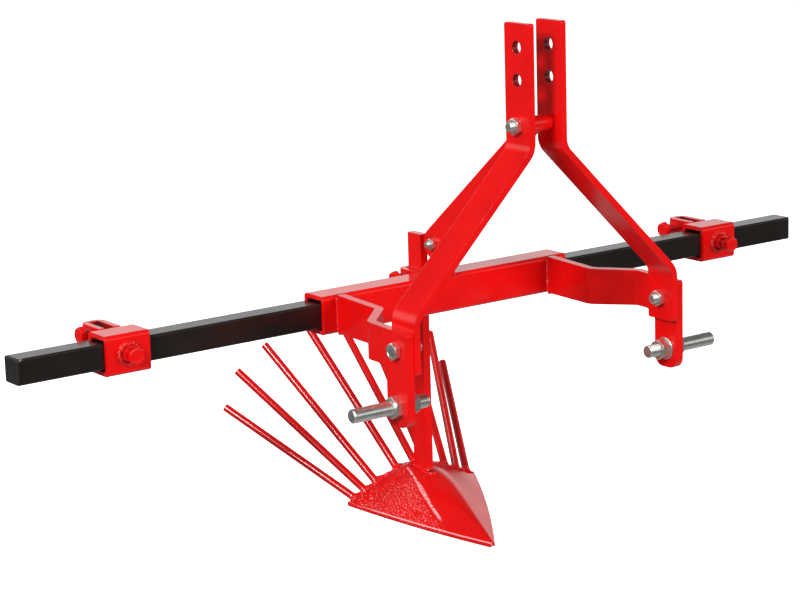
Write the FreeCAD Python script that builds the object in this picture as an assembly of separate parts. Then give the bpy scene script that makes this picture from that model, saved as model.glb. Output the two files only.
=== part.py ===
"""Potato digger for a small tractor's three-point linkage, as an assembly of separate pieces.

Frame: the origin is midway between the two lower hitch pins, on their axis. +X runs along the
toolbar to the right, -Y points forward to the tractor, +Z is up. Sizes are in millimetres.
"""
import FreeCAD
import Part
import math
import os

V = FreeCAD.Vector
X, Y, Z = V(1, 0, 0), V(0, 1, 0), V(0, 0, 1)

# ---- Driving dimensions ---------------------------------------------------------------------

# Toolbar: a square tube with a plastic cap in each end
BAR_SIDE = 40.0
BAR_WALL = 4.0
BAR_CORNER = 3.0
BAR_LENGTH = 1553.0
BAR_BEHIND_PINS = 260.0     # toolbar axis behind the lower pins
BAR_ABOVE_PINS = 93.5       # and above them
CAP_HEAD = 4.0              # plate of the end cap, outside the tube
CAP_CHAMFER = 1.5
CAP_PLUG = 22.0             # length of the plug inside the tube
CAP_PLUG_CLEARANCE = 0.3

# Box tube of the centre sleeve, and of the two clamps cut from the same stock
TUBE_HEIGHT = 62.0
TUBE_WALL = 7.0
TUBE_CORNER = 6.5
SLEEVE_LENGTH = 494.0
CLAMP_LENGTH = 74.5
CLAMP_INSET = 177.5         # from each end of the toolbar to the middle of its clamp
CLAMP_BOLT_RISE = 1.0       # set bolt axis above the toolbar's
SEAT = 0.3                  # gap of a piece that slides on the piece that carries it

# Hitch arms: flat bar, welded to the sleeve, joggled outward and cut out as a plate with a leg
HITCH_WIDTH = 552.0         # over the outer faces of the two hitch plates
FLAT_THICKNESS = 14.0
FLAT_WIDTH = 52.0
ARM_INSET = 26.0            # from the sleeve's end to the outer face of its arm
ARM_DROOP = 10.0            # how much lower the arm's top edge lies at its front end
ARM_BOTTOM_DROOP = 3.0      # and its bottom edge, at the shoulder
JOGGLE_END = 75.0           # the joggle ends this far behind the pins
BEND_RADIUS = 12.0          # inner radius of the arm's bends
LEG_BELOW_PIN = 31.5
LEG_CORNER = 18.0
LEG_FILLET = 8.0
SHOULDER_REACH = 19.0       # small shoulder of the hitch plate, behind the leg
SHOULDER_DEPTH = 1.0        # and below the arm

# Lower hitch pins
PIN_RADIUS = 11.0
PIN_REACH = 85.0            # from the plate's outer face to the pin's end
PIN_CHAMFER = 2.0
PIN_COLLAR_WIDTH = 31.0     # across the flats of the hexagonal collar
PIN_COLLAR_LENGTH = 13.0
PIN_STUD_RADIUS = 10.5
PIN_STUD_REACH = 40.0       # from the plate's inner face to the stud's end
PIN_NUT_WIDTH = 30.0
PIN_NUT_HEIGHT = 16.0
PIN_WASHER_RADIUS = 18.5
PIN_WASHER_THICKNESS = 3.0
LINCH_HOLE_RADIUS = 4.0
LINCH_HOLE_INSET = 20.0

# Mast straps: flat bar from the hitch plates up to the top link
STRAP_THICKNESS = 11.0
STRAP_WIDTH = 58.0
MAST_GAP = 51.0             # between the two straps at the top link
MAST_TOP = 554.0            # above the lower pins
TOP_HOLE_RADIUS = 10.25
TOP_HOLE_HEIGHT = 517.0
TOP_HOLE_PITCH = 50.0
STRAP_LOWER_BEND = 137.0    # height of the lower bend on the outer face
STRAP_SLOPE = 45.0          # degrees from level between the bends
STRAP_BEND_RADIUS = 26.0
STRAP_FOOT = 50.0           # height of the strap's lower end
STRAP_CORNER = 4.0
STRAP_BOLT_HEIGHT = 86.0

# Mast cross bolt, its spacers and the brace down to the sleeve
CROSS_BOLT_ABOVE_BEND = 35.0    # cross bolt, above the straps' upper bend
SPACER_RADIUS = 12.5        # the brace's upper end is as wide, and welded to the spacer
BRACE_ASIDE = 7.0           # how far the brace stands to the left of the middle
BRACE_HEEL_RADIUS = 26.0    # round lower end, on the lug
BRACE_BOLT_AHEAD = 6.0      # brace bolt ahead of the toolbar axis
BRACE_BOLT_HEIGHT = 50.0    # brace bolt above the sleeve's top
LUG_THICKNESS = 10.0
LUG_WIDTH = 50.0
LUG_ABOVE_BOLT = 22.0
LUG_CORNER = 18.0

# Metric bolts: radius, width across flats, height of head, height of nut, overrun past the nut
BOLT_16 = {"radius": 8.0, "flats": 24.0, "head": 10.0, "nut": 13.0, "overrun": 6.0}
BOLT_10 = {"radius": 5.0, "flats": 17.0, "head": 6.4, "nut": 8.4, "overrun": 7.0}
HOLE_CLEARANCE = 0.5        # radial, round a through bolt
THREAD_CLEARANCE = 0.1      # radial, round a set bolt in its thread

# Shank sockets: a bent strap welded behind the sleeve and behind each clamp
SOCKET_WALL = 10.0
SOCKET_CORNER = 14.0
SLOT_X = 17.0               # room for a bar 15 mm thick
SLOT_Y = 52.0               # and 50 mm wide
SHANK_SLOT_Y = 42.0         # the shank's own slot is shorter
SLOT_CORNER = 2.0
SHANK_SOCKET_ASIDE = 9.0    # and the shank's socket, of the sleeve's middle
SET_BOLT_BELOW_TOP = 11.5   # set bolt axis below the socket's top

# Where each set bolt's head stands: from the socket's side or the clamp's front to under the head
SOCKET_BOLT_OUT = {"left": 12.0, "right": 34.0}
SHANK_BOLT_OUT = 21.0
CLAMP_BOLT_OUT = {"left": 16.5, "right": 25.0}

# Shank: flat bar that stands in the sleeve's socket and carries the share
SHANK_THICKNESS = 14.0
SHANK_WIDTH = 35.0
SHANK_FRONT_GAP = 1.5       # between the sleeve and the shank's front edge
SHANK_TOP = 185.0           # above the lower pins

# Share: an arched, pointed blade
SHARE_ASIDE = 7.0           # how far its centre line stands to the left of the middle
SHARE_REAR = 83.0           # rear edge behind the toolbar axis
SHARE_LENGTH = 221.0
SHARE_HALF_WIDTH = 133.0
SHARE_TIP_HALF_WIDTH = 4.0
SHARE_THICKNESS = 6.0
SHARE_BULGE = 7.0           # how far each cutting edge bows outward
SHARE_RIDGE_REAR = -215.5   # height of the ridge at the rear edge
SHARE_WING_DROP = 44.5      # corners of the wings below that ridge
SHARE_EDGE_FALL = 45.5      # how much lower the cutting edge lies at the tip
SHARE_TIP_ARCH = 2.0        # ridge above the cutting edges at the tip
SHARE_LEVEL_PART = 0.25     # part of the length over which the ridge stays level
SHARE_BREAK = 0.12          # part of the length over which it turns down to the tip
SHARE_FOLD_REAR = 100.0     # radius of the fold along the ridge, at the rear edge
SHARE_FOLD_TIP = 3.0        # and at the tip
SHARE_SECTIONS = 6

# Sifting rods: welded along the share's rear edge, fanning outward, back and up
ROD_RADIUS = 6.5
ROD_BASES = (29.0, 71.5, 95.0, 116.5)   # distances of the roots from the share's centre line
ROD_ENDS = (60.0, 147.0, 204.0, 231.0)  # and of the free ends
CENTRE_ROD_ASIDE = 7.0      # how far the centre rod stands to the right of that line
ROD_REACH = 215.0           # how far behind the share the rods end
ROD_END_CENTRE = -4.0       # height of the centre rod's end
ROD_END_DROP = 118.0        # the outermost rods end this much lower
ROD_DROP_CURVE = 3.4
PICK = 0.01                 # how near an edge must lie to a face to be taken as its rim

# ---- Derived places -------------------------------------------------------------------------

BAR_Y = BAR_BEHIND_PINS
BAR_Z = BAR_ABOVE_PINS
TUBE_DEPTH = BAR_SIDE + 2 * (TUBE_WALL + SEAT)
TUBE_BOTTOM = BAR_Z - TUBE_HEIGHT / 2
TUBE_TOP = BAR_Z + TUBE_HEIGHT / 2
TUBE_FRONT = BAR_Y - TUBE_DEPTH / 2
TUBE_BACK = BAR_Y + TUBE_DEPTH / 2
PLATE_OUT = HITCH_WIDTH / 2
PLATE_IN = PLATE_OUT - FLAT_THICKNESS
STRAP_IN = PLATE_IN - STRAP_THICKNESS
MAST_IN = MAST_GAP / 2
MAST_OUT = MAST_IN + STRAP_THICKNESS
STRAP_UPPER_BEND = (STRAP_LOWER_BEND
                    + (PLATE_IN - MAST_OUT) * math.tan(math.radians(STRAP_SLOPE)))
CROSS_BOLT_HEIGHT = STRAP_UPPER_BEND + CROSS_BOLT_ABOVE_BEND
ARM_SPACING = SLEEVE_LENGTH - 2 * ARM_INSET     # over the outer faces of the arms
CLAMP_PLACES = {"left": CLAMP_INSET - BAR_LENGTH / 2, "right": BAR_LENGTH / 2 - CLAMP_INSET}
SOCKET_X = SLOT_X + 2 * SOCKET_WALL
SHARE_X = -SHARE_ASIDE
SHARE_Y = BAR_Y + SHARE_REAR
BRACE_X = -BRACE_ASIDE
BRACE_BOLT_Y = BAR_Y - BRACE_BOLT_AHEAD
BRACE_BOLT_Z = TUBE_TOP + BRACE_BOLT_HEIGHT


# ---- Geometry helpers -----------------------------------------------------------------------

def path_edges(points, radii, closed=False):
    """Straight runs through the points, with each corner rounded by its radius."""
    count = len(points)
    edges = []
    start = None
    first = None
    for i, point in enumerate(points):
        radius = radii[i]
        inner = closed or 0 < i < count - 1
        if inner and radius > 0:
            back = (points[i - 1] - point).normalize()
            ahead = (points[(i + 1) % count] - point).normalize()
            half = back.getAngle(ahead) / 2
            reach = radius / math.tan(half)
            inward = (back + ahead).normalize()
            middle = point + inward * (radius / math.sin(half) - radius)
            enter, leave = point + back * reach, point + ahead * reach
            arc = Part.Arc(enter, middle, leave).toShape()
        else:
            enter, leave, arc = point, point, None
        if start is not None and start.distanceToPoint(enter) > 1e-6:
            edges.append(Part.makeLine(start, enter))
        if first is None:
            first = enter
        if arc:
            edges.append(arc)
        start = leave
    if closed and start.distanceToPoint(first) > 1e-6:
        edges.append(Part.makeLine(start, first))
    return edges


def prism(points, radii, direction):
    """A closed outline with rounded corners, pushed along a vector."""
    if isinstance(radii, (int, float)):
        radii = [radii] * len(points)
    face = Part.Face(Part.Wire(path_edges(points, radii, closed=True)))
    return face.extrude(direction)


def bent_bar(points, thickness, bend_radius, normal, width):
    """Flat bar bent along the points of one face; its thickness lies to the left of the path
    seen against the normal, and its width runs along the normal."""
    steps = [(b - a).normalize() for a, b in zip(points, points[1:])]
    near, far, near_radii, far_radii = [], [], [], []
    for i, point in enumerate(points):
        before = steps[max(i - 1, 0)]
        after = steps[min(i, len(steps) - 1)]
        side_before, side_after = normal.cross(before), normal.cross(after)
        shift = (side_before + side_after) * (thickness / (1 + side_before.dot(side_after)))
        turns_left = before.cross(after).dot(normal) > 0
        near.append(point)
        far.append(point + shift)
        near_radii.append(bend_radius + thickness if turns_left else bend_radius)
        far_radii.append(bend_radius if turns_left else bend_radius + thickness)
    near_edges = path_edges(near, near_radii)
    far_edges = path_edges(far[::-1], far_radii[::-1])
    ends = [Part.makeLine(near[-1], far[-1]), Part.makeLine(far[0], near[0])]
    wire = Part.Wire(Part.__sortEdges__(near_edges + far_edges + ends))
    return Part.Face(wire).extrude(normal * width)


def rectangle_yz(low_y, high_y, low_z, high_z, x):
    return [V(x, low_y, low_z), V(x, high_y, low_z), V(x, high_y, high_z), V(x, low_y, high_z)]


def box_tube(length, depth, height, wall, corner, centre):
    """Box tube along X, open at both ends, centred on a point."""
    def bar(inset, radius):
        corners = rectangle_yz(centre.y - depth / 2 + inset, centre.y + depth / 2 - inset,
                               centre.z - height / 2 + inset, centre.z + height / 2 - inset,
                               centre.x - length / 2)
        return prism(corners, radius, X * length)
    return bar(0, corner).cut(bar(wall, max(corner - wall, 0)))


def rod(start, direction, radius, length):
    return Part.makeCylinder(radius, length, start, direction)


def hexagon(start, direction, flats, height):
    """Hexagonal prism along X from a point, with two corners at top and bottom."""
    corner = flats / math.sqrt(3)
    points = [start + V(0, corner * math.sin(a), corner * math.cos(a))
              for a in (math.radians(60 * k) for k in range(6))]
    return prism(points, 0, direction * height)


def through_bolt(size, x_head, x_nut_face, y, z):
    """Bolt along X with its head seated at one face and its nut at the other."""
    along = X if x_nut_face > x_head else -X
    head = hexagon(V(x_head, y, z), -along, size["flats"], size["head"])
    reach = abs(x_nut_face - x_head) + size["nut"] + size["overrun"]
    nut = hexagon(V(x_nut_face, y, z), along, size["flats"], size["nut"])
    return head.fuse([rod(V(x_head, y, z), along, size["radius"], reach), nut]).removeSplitter()


def set_bolt(size, tip, direction, length):
    """Bolt whose tip is at a point and whose head lies back along its direction."""
    head_seat = tip - direction * length
    shaft = rod(head_seat, direction, size["radius"], length)
    head = hexagon(V(0, 0, 0), X, size["flats"], size["head"])
    turn = FreeCAD.Rotation(X, direction * -1)
    head.Placement = FreeCAD.Placement(head_seat, turn)
    return shaft.fuse(head).removeSplitter()


def mirrored(shape):
    return shape.mirror(V(0, 0, 0), X)


def both_sides(name, left, parts):
    """Add a piece made for the left side, and its mirror image on the right."""
    parts[name + "_left"] = left
    parts[name + "_right"] = mirrored(left)


# ---- Toolbar and sleeve ---------------------------------------------------------------------

def toolbar():
    return box_tube(BAR_LENGTH, BAR_SIDE, BAR_SIDE, BAR_WALL, BAR_CORNER, V(0, BAR_Y, BAR_Z))


def bar_cap_left():
    """Push-in end cap: a plate over the tube's end and a plug inside it."""
    end = -BAR_LENGTH / 2
    half = BAR_SIDE / 2
    plug_half = half - BAR_WALL - CAP_PLUG_CLEARANCE
    plate = prism(rectangle_yz(BAR_Y - half, BAR_Y + half, BAR_Z - half, BAR_Z + half,
                               end - CAP_HEAD), BAR_CORNER, X * CAP_HEAD)
    rim = [edge for edge in plate.Edges if edge.BoundBox.XMax < end - CAP_HEAD + PICK]
    plate = plate.makeChamfer(CAP_CHAMFER, rim)
    plug = prism(rectangle_yz(BAR_Y - plug_half, BAR_Y + plug_half, BAR_Z - plug_half,
                              BAR_Z + plug_half, end), 0, X * CAP_PLUG)
    return plate.fuse(plug).removeSplitter()


def sleeve():
    return box_tube(SLEEVE_LENGTH, TUBE_DEPTH, TUBE_HEIGHT, TUBE_WALL, TUBE_CORNER,
                    V(0, BAR_Y, BAR_Z))


# ---- Hitch arms, pins and mast --------------------------------------------------------------

def hitch_arm_left():
    """Arm, joggle and hitch plate in one bent flat, cut to its side outline."""
    step = PLATE_OUT - ARM_SPACING / 2
    low = -LEG_BELOW_PIN
    plan = [V(-ARM_SPACING / 2, TUBE_FRONT, low),
            V(-ARM_SPACING / 2, JOGGLE_END + step, low),
            V(-PLATE_OUT, JOGGLE_END, low),
            V(-PLATE_OUT, -FLAT_WIDTH / 2, low)]
    bent = bent_bar(plan, FLAT_THICKNESS, BEND_RADIUS, Z, TUBE_TOP - low)
    half = FLAT_WIDTH / 2
    shoulder_y = half + SHOULDER_REACH
    arm_end = TUBE_BOTTOM - ARM_BOTTOM_DROOP
    leg_root = arm_end - SHOULDER_DEPTH
    side = [V(-PLATE_OUT, TUBE_FRONT, TUBE_TOP),
            V(-PLATE_OUT, -half, TUBE_TOP - ARM_DROOP),
            V(-PLATE_OUT, -half, low),
            V(-PLATE_OUT, half, low),
            V(-PLATE_OUT, half, leg_root),
            V(-PLATE_OUT, shoulder_y, arm_end - SHOULDER_DEPTH),
            V(-PLATE_OUT, shoulder_y, arm_end),
            V(-PLATE_OUT, TUBE_FRONT, TUBE_BOTTOM)]
    radii = [0, STRAP_CORNER, LEG_CORNER, LEG_CORNER, LEG_FILLET, 0, 0, 0]
    outline = prism(side, radii, X * PLATE_OUT)
    holes = [rod(V(-PLATE_OUT, 0, 0), X, PIN_STUD_RADIUS + HOLE_CLEARANCE, FLAT_THICKNESS),
             rod(V(-PLATE_OUT, 0, STRAP_BOLT_HEIGHT), X, BOLT_16["radius"] + HOLE_CLEARANCE,
                 FLAT_THICKNESS)]
    return bent.common(outline).cut(holes).removeSplitter()


def hitch_pin_left():
    """Lower link pin: round pin and hexagonal collar outside the plate, stud inside."""
    pin = rod(V(-PLATE_OUT - PIN_REACH, 0, 0), X, PIN_RADIUS, PIN_REACH)
    tip = -PLATE_OUT - PIN_REACH
    end = [edge for edge in pin.Edges if edge.BoundBox.XMax < tip + PICK]
    pin = pin.makeChamfer(PIN_CHAMFER, end)
    collar = hexagon(V(-PLATE_OUT, 0, 0), -X, PIN_COLLAR_WIDTH, PIN_COLLAR_LENGTH)
    stud = rod(V(-PLATE_OUT, 0, 0), X, PIN_STUD_RADIUS, FLAT_THICKNESS + PIN_STUD_REACH)
    linch = rod(V(-PLATE_OUT - PIN_REACH + LINCH_HOLE_INSET, 0, -PIN_RADIUS), Z,
                LINCH_HOLE_RADIUS, 2 * PIN_RADIUS)
    return pin.fuse([collar, stud]).cut(linch).removeSplitter()


def hitch_nut_left():
    """Nut and its captive washer on the pin's stud."""
    seat = V(-PLATE_IN, 0, 0)
    washer = rod(seat, X, PIN_WASHER_RADIUS, PIN_WASHER_THICKNESS)
    nut = hexagon(seat, X, PIN_NUT_WIDTH, PIN_WASHER_THICKNESS + PIN_NUT_HEIGHT)
    thread = rod(seat, X, PIN_STUD_RADIUS + THREAD_CLEARANCE,
                 PIN_WASHER_THICKNESS + PIN_NUT_HEIGHT)
    return nut.fuse(washer).cut(thread).removeSplitter()


def mast_strap_left():
    """Flat bar, upright at the top link and at the hitch plate, sloping between its bends."""
    half = STRAP_WIDTH / 2
    path = [V(-MAST_OUT, -half, MAST_TOP),
            V(-MAST_OUT, -half, STRAP_UPPER_BEND),
            V(-PLATE_IN, -half, STRAP_LOWER_BEND),
            V(-PLATE_IN, -half, STRAP_FOOT)]
    bent = bent_bar(path[::-1], STRAP_THICKNESS, STRAP_BEND_RADIUS, Y, STRAP_WIDTH)
    outline = prism(rectangle_yz(-half, half, STRAP_FOOT, MAST_TOP, -PLATE_IN),
                    STRAP_CORNER, X * PLATE_IN)
    top = V(-MAST_OUT, 0, TOP_HOLE_HEIGHT)
    holes = [rod(top - Z * (k * TOP_HOLE_PITCH), X, TOP_HOLE_RADIUS, STRAP_THICKNESS)
             for k in range(2)]
    bolt_hole = BOLT_16["radius"] + HOLE_CLEARANCE
    holes.append(rod(V(-MAST_OUT, 0, CROSS_BOLT_HEIGHT), X, bolt_hole, STRAP_THICKNESS))
    holes.append(rod(V(-PLATE_IN, 0, STRAP_BOLT_HEIGHT), X, bolt_hole, STRAP_THICKNESS))
    return bent.common(outline).cut(holes).removeSplitter()


def strap_bolt_left():
    return through_bolt(BOLT_16, -PLATE_OUT, -STRAP_IN, 0, STRAP_BOLT_HEIGHT)


def cross_bolt():
    return through_bolt(BOLT_16, MAST_OUT, -MAST_OUT, 0, CROSS_BOLT_HEIGHT)


def mast_spacer():
    """Tube on the cross bolt, from strap to strap."""
    start = V(-MAST_IN, 0, CROSS_BOLT_HEIGHT)
    bore = rod(start, X, BOLT_16["radius"] + HOLE_CLEARANCE, MAST_GAP)
    return rod(start, X, SPACER_RADIUS, MAST_GAP).cut(bore)


def brace():
    """Tapered flat brace: its upper end is cut to the mast spacer and welded there, its lower
    end is round and bolted to the lug on the sleeve."""
    x = BRACE_X - FLAT_THICKNESS / 2
    toe = V(x, 0, CROSS_BOLT_HEIGHT)
    heel = V(x, BRACE_BOLT_Y, BRACE_BOLT_Z)
    span = heel.distanceToPoint(toe)
    along = (toe - heel).normalize()
    across = X.cross(along)
    tilt = math.asin((BRACE_HEEL_RADIUS - SPACER_RADIUS) / span)
    outline = []
    for centre, radius, sign in ((toe, SPACER_RADIUS, 1), (heel, BRACE_HEEL_RADIUS, 1),
                                 (heel, BRACE_HEEL_RADIUS, -1), (toe, SPACER_RADIUS, -1)):
        normal = across * (sign * math.cos(tilt)) + along * math.sin(tilt)
        outline.append(centre + normal * radius)
    edges = [Part.makeLine(outline[0], outline[1]),
             Part.Arc(outline[1], heel - along * BRACE_HEEL_RADIUS, outline[2]).toShape(),
             Part.makeLine(outline[2], outline[3]),
             Part.makeLine(outline[3], outline[0])]
    plate = Part.Face(Part.Wire(edges)).extrude(X * FLAT_THICKNESS)
    cuts = [rod(toe, X, SPACER_RADIUS, FLAT_THICKNESS),
            rod(heel, X, BOLT_10["radius"] + HOLE_CLEARANCE, FLAT_THICKNESS)]
    return plate.cut(cuts)


def brace_lug():
    """Plate welded upright on the sleeve, beside the brace's lower end."""
    x = BRACE_X + FLAT_THICKNESS / 2
    top = BRACE_BOLT_Z + LUG_ABOVE_BOLT
    half = LUG_WIDTH / 2
    corners = rectangle_yz(BRACE_BOLT_Y - half, BRACE_BOLT_Y + half, TUBE_TOP, top, x)
    plate = prism(corners, [0, 0, LUG_CORNER, LUG_CORNER], X * LUG_THICKNESS)
    return plate.cut(rod(V(x, BRACE_BOLT_Y, BRACE_BOLT_Z), X,
                         BOLT_10["radius"] + HOLE_CLEARANCE, LUG_THICKNESS))


def brace_bolt():
    half = FLAT_THICKNESS / 2
    return through_bolt(BOLT_10, BRACE_X + half + LUG_THICKNESS, BRACE_X - half,
                        BRACE_BOLT_Y, BRACE_BOLT_Z)


# ---- Sockets and clamps ---------------------------------------------------------------------

def socket_at(x, y, slot_y, bottom):
    """Bent strap round an upright slot, open at top and bottom; its side is drilled for the
    set bolt."""
    back = y + slot_y + SOCKET_WALL
    outer = [V(x - SOCKET_X / 2, y, bottom), V(x + SOCKET_X / 2, y, bottom),
             V(x + SOCKET_X / 2, back, bottom), V(x - SOCKET_X / 2, back, bottom)]
    inner = [V(x - SLOT_X / 2, y, bottom), V(x + SLOT_X / 2, y, bottom),
             V(x + SLOT_X / 2, y + slot_y, bottom), V(x - SLOT_X / 2, y + slot_y, bottom)]
    body = prism(outer, [0, 0, SOCKET_CORNER, SOCKET_CORNER], Z * TUBE_HEIGHT)
    slot = prism(inner, [0, 0, SLOT_CORNER, SLOT_CORNER], Z * TUBE_HEIGHT)
    axis_z = bottom + TUBE_HEIGHT - SET_BOLT_BELOW_TOP
    thread = rod(V(x - SOCKET_X / 2, y + slot_y / 2, axis_z), X,
                 BOLT_16["radius"] + THREAD_CLEARANCE, SOCKET_WALL)
    return body.cut([slot, thread]).removeSplitter()


def socket_bolt(x, y, slot_y, bottom, out, tip_x):
    """Set bolt through the socket's left side; out is the gap from the side to the head."""
    axis_z = bottom + TUBE_HEIGHT - SET_BOLT_BELOW_TOP
    side = x - SOCKET_X / 2
    return set_bolt(BOLT_16, V(tip_x, y + slot_y / 2, axis_z), X, tip_x - side + out)


def clamp_parts(side, parts):
    """A clamp: box tube round the toolbar, a welded nut and set bolt in front, and a socket
    for a tool's shank behind."""
    x = CLAMP_PLACES[side]
    centre = V(x, BAR_Y, BAR_Z)
    bolt_axis = V(x, TUBE_FRONT, BAR_Z + CLAMP_BOLT_RISE)
    tube = box_tube(CLAMP_LENGTH, TUBE_DEPTH, TUBE_HEIGHT, TUBE_WALL, TUBE_CORNER, centre)
    hole = rod(bolt_axis, Y, BOLT_16["radius"] + THREAD_CLEARANCE, TUBE_WALL)
    parts["clamp_tube_" + side] = tube.cut(hole)
    nut = hexagon(V(0, 0, 0), X, BOLT_16["flats"], BOLT_16["nut"])
    nut.Placement = FreeCAD.Placement(bolt_axis, FreeCAD.Rotation(X, -Y))
    bore = rod(bolt_axis, -Y, BOLT_16["radius"] + THREAD_CLEARANCE, BOLT_16["nut"])
    parts["clamp_nut_" + side] = nut.cut(bore)
    tip = V(x, BAR_Y - BAR_SIDE / 2 - SEAT, bolt_axis.z)
    length = tip.y - TUBE_FRONT + CLAMP_BOLT_OUT[side]
    parts["clamp_bolt_" + side] = set_bolt(BOLT_16, tip, Y, length)
    parts["clamp_socket_" + side] = socket_at(x, TUBE_BACK, SLOT_Y, TUBE_BOTTOM)
    parts["socket_bolt_" + side] = socket_bolt(x, TUBE_BACK, SLOT_Y, TUBE_BOTTOM,
                                               SOCKET_BOLT_OUT[side], x - SLOT_X / 2)


# ---- Shank, share and rods ------------------------------------------------------------------

def ridge_height(s):
    """Height of the share's ridge; s runs from 0 at the rear edge to 1 at the tip. The ridge
    is level behind and straight in front, with a smooth break between."""
    def bend(t):
        ahead = t - SHARE_LEVEL_PART
        return ahead + math.hypot(ahead, SHARE_BREAK)
    tip = SHARE_RIDGE_REAR - SHARE_WING_DROP - SHARE_EDGE_FALL + SHARE_TIP_ARCH
    progress = (bend(s) - bend(0)) / (bend(1) - bend(0))
    return SHARE_RIDGE_REAR + (tip - SHARE_RIDGE_REAR) * progress


def fold_section(s):
    """Half-width, height of the cutting edge, fold radius and fold angle at s. Each wing runs
    straight from its cutting edge to touch the round fold."""
    half = SHARE_HALF_WIDTH * (1 - s) + SHARE_TIP_HALF_WIDTH * s + SHARE_BULGE * 4 * s * (1 - s)
    edge = SHARE_RIDGE_REAR - SHARE_WING_DROP - SHARE_EDGE_FALL * s
    radius = SHARE_FOLD_REAR * (1 - s) + SHARE_FOLD_TIP * s
    drop = edge - (ridge_height(s) - radius)
    angle = math.atan2(half, drop) - math.acos(radius / math.hypot(half, drop))
    return half, edge, radius, angle


def upper_height(x, s):
    """Height of the share's upper face at a distance from its centre line."""
    half, edge, radius, angle = fold_section(s)
    centre = ridge_height(s) - radius
    touch = radius * math.sin(angle)
    if abs(x) <= touch:
        return centre + math.sqrt(radius ** 2 - x ** 2)
    rise = centre + radius * math.cos(angle) - edge
    return edge + rise * (half - abs(x)) / (half - touch)


def share_section(s):
    """Closed section across the share: two wings and a fold of even thickness."""
    y = SHARE_Y - SHARE_LENGTH * s
    half, edge, radius, angle = fold_section(s)
    touch = radius * math.sin(angle)
    top = [V(SHARE_X + x, y, upper_height(x, s)) for x in (-half, -touch, 0, touch, half)]
    under = [point - Z * SHARE_THICKNESS for point in top]
    return Part.Wire([Part.makeLine(top[0], top[1]), Part.Arc(*top[1:4]).toShape(),
                      Part.makeLine(top[3], top[4]), Part.makeLine(top[4], under[4]),
                      Part.makeLine(under[4], under[3]), Part.Arc(*under[3:0:-1]).toShape(),
                      Part.makeLine(under[1], under[0]), Part.makeLine(under[0], top[0])])


def share():
    sections = [share_section(k / (SHARE_SECTIONS - 1)) for k in range(SHARE_SECTIONS)]
    return Part.makeLoft(sections, True, False)


def shank(blade):
    """Flat bar pressed against the socket's right side by the set bolt, its foot cut to the
    share's upper face and welded there."""
    right = SLOT_X / 2 - SHANK_SOCKET_ASIDE - SEAT
    front = TUBE_BACK + SHANK_FRONT_GAP
    foot = ridge_height(1.0)
    bar = Part.makeBox(SHANK_THICKNESS, SHANK_WIDTH, SHANK_TOP - foot,
                       V(right - SHANK_THICKNESS, front, foot))
    pieces = bar.cut(blade).Solids
    return max(pieces, key=lambda solid: solid.BoundBox.ZMax)


def sifting_rod(base, end_out):
    """Round rod from the share's rear face, from and to a distance from its centre line; its
    root is cut flush with that face."""
    middle = SHARE_THICKNESS / 2
    root = V(SHARE_X + base, SHARE_Y, upper_height(base, 0) - middle)
    share_of_width = abs(base) / ROD_BASES[-1]
    end = V(SHARE_X + end_out, SHARE_Y + ROD_REACH,
            ROD_END_CENTRE - ROD_END_DROP * share_of_width ** ROD_DROP_CURVE)
    along = (end - root).normalize()
    lead = 3 * ROD_RADIUS
    bar = rod(root - along * lead, along, ROD_RADIUS, end.distanceToPoint(root) + lead)
    reach = V(4 * lead, 2 * lead, 4 * lead)
    ahead = Part.makeBox(reach.x, reach.y, reach.z, root - V(reach.x / 2, reach.y, reach.z / 2))
    return bar.cut(ahead)


# ---- Assembly -------------------------------------------------------------------------------

def build():
    parts = {}
    parts["toolbar"] = toolbar()
    both_sides("bar_cap", bar_cap_left(), parts)
    parts["sleeve"] = sleeve()
    both_sides("hitch_arm", hitch_arm_left(), parts)
    both_sides("hitch_pin", hitch_pin_left(), parts)
    both_sides("hitch_nut", hitch_nut_left(), parts)
    both_sides("mast_strap", mast_strap_left(), parts)
    both_sides("strap_bolt", strap_bolt_left(), parts)
    parts["mast_spacer"] = mast_spacer()
    parts["cross_bolt"] = cross_bolt()
    parts["brace"] = brace()
    parts["brace_lug"] = brace_lug()
    parts["brace_bolt"] = brace_bolt()
    socket_x = -SHANK_SOCKET_ASIDE
    parts["shank_socket"] = socket_at(socket_x, TUBE_BACK, SHANK_SLOT_Y, TUBE_BOTTOM)
    shank_side = socket_x + SLOT_X / 2 - SEAT - SHANK_THICKNESS
    parts["shank_set_bolt"] = socket_bolt(socket_x, TUBE_BACK, SHANK_SLOT_Y, TUBE_BOTTOM, SHANK_BOLT_OUT,
                                          shank_side - SEAT)
    for side in CLAMP_PLACES:
        clamp_parts(side, parts)
    parts["share"] = share()
    parts["shank"] = shank(parts["share"])
    parts["rod_centre"] = sifting_rod(CENTRE_ROD_ASIDE, CENTRE_ROD_ASIDE)
    for number, (base, end_out) in enumerate(zip(ROD_BASES, ROD_ENDS), 1):
        parts["rod_left_%d" % number] = sifting_rod(-base, -end_out)
        parts["rod_right_%d" % number] = sifting_rod(base, end_out)
    return parts


def main():
    os.makedirs("parts", exist_ok=True)
    for name, shape in build().items():
        shape.exportStep("parts/%s.step" % name)
        box = shape.BoundBox
        print("%-20s solids %d valid %s volume %.0f  x %.1f..%.1f  y %.1f..%.1f  z %.1f..%.1f" % (
            name, len(shape.Solids), shape.isValid(), shape.Volume,
            box.XMin, box.XMax, box.YMin, box.YMax, box.ZMin, box.ZMax))


main()
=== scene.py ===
# %% [markdown]
# # A potato digger for a small tractor
#
# The machine hangs on a tractor's three-point linkage. A black square toolbar runs across it.
# A red sleeve in the middle carries the hitch, the mast and a socket with the lifting share.
# Two red clamps slide on the bar for other tools.
#
# The exact plates and tubes come from a CAD model. This script loads them as a fixed frame and
# adds what makes steel look like steel: paint, zinc, threads, chamfered nuts and weld beads.
# Every length is in metres.

import math
import random

import bmesh
import bpy
from mathutils import Matrix, Vector


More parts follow.
